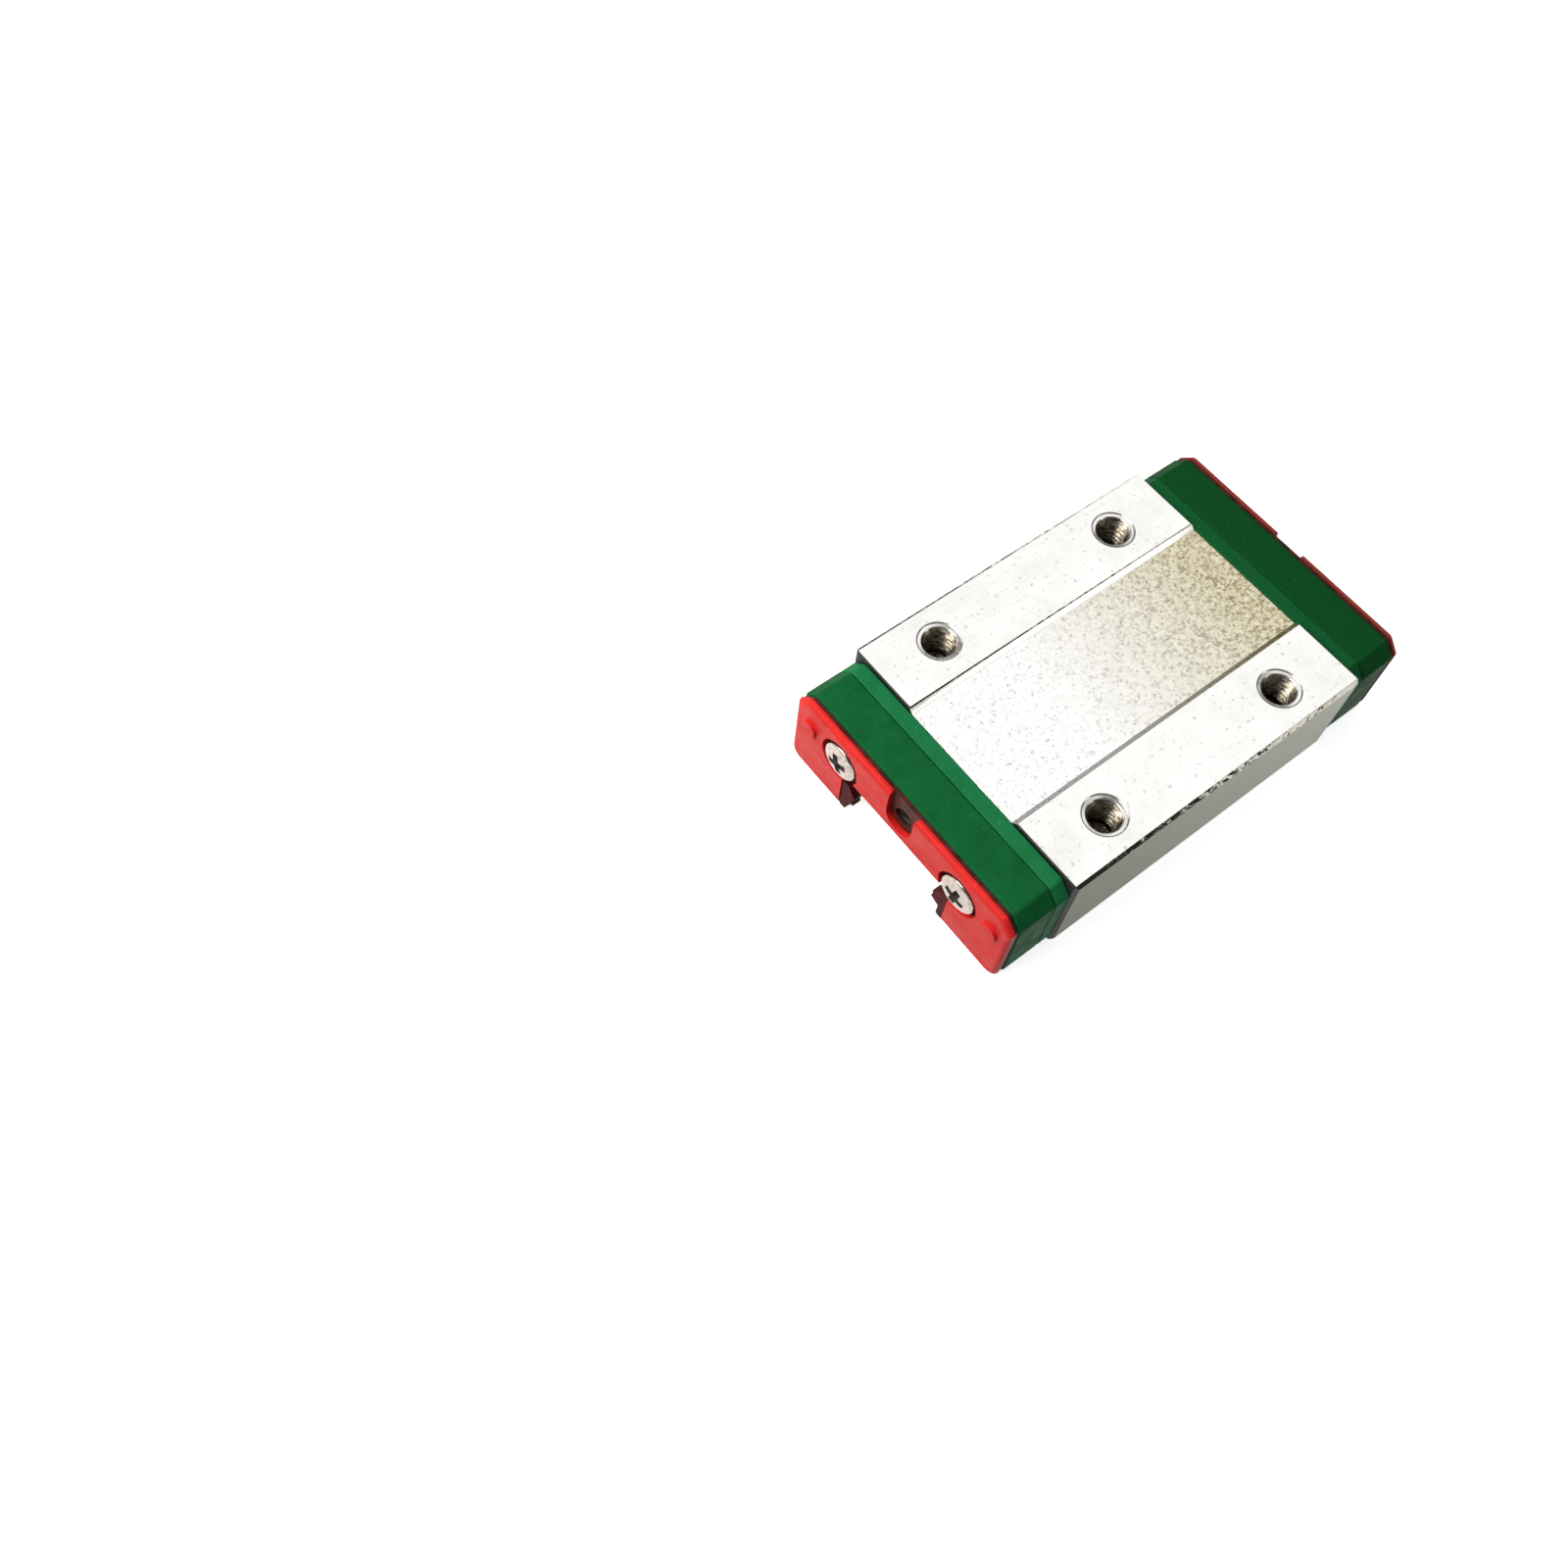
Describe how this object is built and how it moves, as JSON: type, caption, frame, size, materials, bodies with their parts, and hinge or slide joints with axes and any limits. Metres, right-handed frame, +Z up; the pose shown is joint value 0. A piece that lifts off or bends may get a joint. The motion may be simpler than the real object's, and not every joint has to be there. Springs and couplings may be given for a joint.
{
  "type": "linear guide carriage",
  "caption": "Miniature linear guide carriage: a steel block on recirculating ball rows, with green end caps, red end seals and four tapped mounting holes on top.",
  "frame": {"origin": "below the middle of the carriage, at the level of the steel block's underside", "axes": "+X along the rail, the direction of travel; +Y across the rail, towards the left side; +Z up, away from the rail"},
  "size_m": [0.0454, 0.027, 0.01],
  "materials": {
    "nickel_steel": "ground and nickel plated bearing steel, bright",
    "green_plastic": "satin moulded acetal, green",
    "pale_green_plastic": "satin moulded acetal, lighter green",
    "red_plastic": "satin moulded plastic, red",
    "dark_rubber": "dark red nitrile rubber",
    "screw_steel": "nickel plated steel screws",
    "ball_steel": "polished bearing steel",
    "spring_steel": "drawn stainless spring wire"
  },
  "bodies": {
    "carriage": {"carriage_block": "nickel_steel", "return_plate_front": "pale_green_plastic", "end_cap_front": "green_plastic", "wiper_front": "dark_rubber", "end_seal_front": "red_plastic", "end_screw_front_left": "screw_steel", "end_screw_front_right": "screw_steel", "return_plate_rear": "pale_green_plastic", "end_cap_rear": "green_plastic", "wiper_rear": "dark_rubber", "end_seal_rear": "red_plastic", "end_screw_rear_left": "screw_steel", "end_screw_rear_right": "screw_steel", "retaining_wire_left": "spring_steel", "retaining_wire_right": "spring_steel"},
    "loaded_row_left": {"ball_left_01": "ball_steel", "ball_left_02": "ball_steel", "ball_left_03": "ball_steel", "ball_left_04": "ball_steel", "ball_left_05": "ball_steel", "ball_left_06": "ball_steel", "ball_left_07": "ball_steel", "ball_left_08": "ball_steel", "ball_left_09": "ball_steel", "ball_left_10": "ball_steel", "ball_left_11": "ball_steel", "ball_left_12": "ball_steel", "ball_left_13": "ball_steel"},
    "return_row_left": {"return_balls_left": "ball_steel"},
    "turn_front_left": {"turn_balls_front_left": "ball_steel"},
    "turn_rear_left": {"turn_balls_rear_left": "ball_steel"},
    "loaded_row_right": {"ball_right_01": "ball_steel", "ball_right_02": "ball_steel", "ball_right_03": "ball_steel", "ball_right_04": "ball_steel", "ball_right_05": "ball_steel", "ball_right_06": "ball_steel", "ball_right_07": "ball_steel", "ball_right_08": "ball_steel", "ball_right_09": "ball_steel", "ball_right_10": "ball_steel", "ball_right_11": "ball_steel", "ball_right_12": "ball_steel", "ball_right_13": "ball_steel"},
    "return_row_right": {"return_balls_right": "ball_steel"},
    "turn_front_right": {"turn_balls_front_right": "ball_steel"},
    "turn_rear_right": {"turn_balls_rear_right": "ball_steel"}
  },
  "joints": [
    {"name": "loaded_row_left_travel", "type": "slide", "parent": "carriage", "child": "loaded_row_left", "axis": [1, 0, 0], "range_m": [-0.001, 0.001]},
    {"name": "return_row_left_travel", "type": "slide", "parent": "carriage", "child": "return_row_left", "axis": [1, 0, 0], "range_m": [-0.001, 0.001]},
    {"name": "turn_front_left_roll", "type": "hinge", "parent": "carriage", "child": "turn_front_left", "pos_m": [-0.0173, 0.00817, 0.0026], "axis": [0, 0, 1], "range_deg": [-29.2, 29.2]},
    {"name": "turn_rear_left_roll", "type": "hinge", "parent": "carriage", "child": "turn_rear_left", "pos_m": [0.0173, 0.00817, 0.0026], "axis": [0, 0, 1], "range_deg": [-29.2, 29.2]},
    {"name": "loaded_row_right_travel", "type": "slide", "parent": "carriage", "child": "loaded_row_right", "axis": [1, 0, 0], "range_m": [-0.001, 0.001]},
    {"name": "return_row_right_travel", "type": "slide", "parent": "carriage", "child": "return_row_right", "axis": [1, 0, 0], "range_m": [-0.001, 0.001]},
    {"name": "turn_front_right_roll", "type": "hinge", "parent": "carriage", "child": "turn_front_right", "pos_m": [-0.0173, -0.00817, 0.0026], "axis": [0, 0, 1], "range_deg": [-29.2, 29.2]},
    {"name": "turn_rear_right_roll", "type": "hinge", "parent": "carriage", "child": "turn_rear_right", "pos_m": [0.0173, -0.00817, 0.0026], "axis": [0, 0, 1], "range_deg": [-29.2, 29.2]}
  ],
  "couplings": [
    {"joint": "return_row_left_travel", "follows": "loaded_row_left_travel", "ratio": -1},
    {"joint": "turn_front_left_roll", "follows": "loaded_row_left_travel", "rad_per_m": 506.59},
    {"joint": "turn_rear_left_roll", "follows": "loaded_row_left_travel", "rad_per_m": 506.59},
    {"joint": "return_row_right_travel", "follows": "loaded_row_right_travel", "ratio": -1},
    {"joint": "turn_front_right_roll", "follows": "loaded_row_right_travel", "rad_per_m": -506.59},
    {"joint": "turn_rear_right_roll", "follows": "loaded_row_right_travel", "rad_per_m": -506.59}
  ]
}
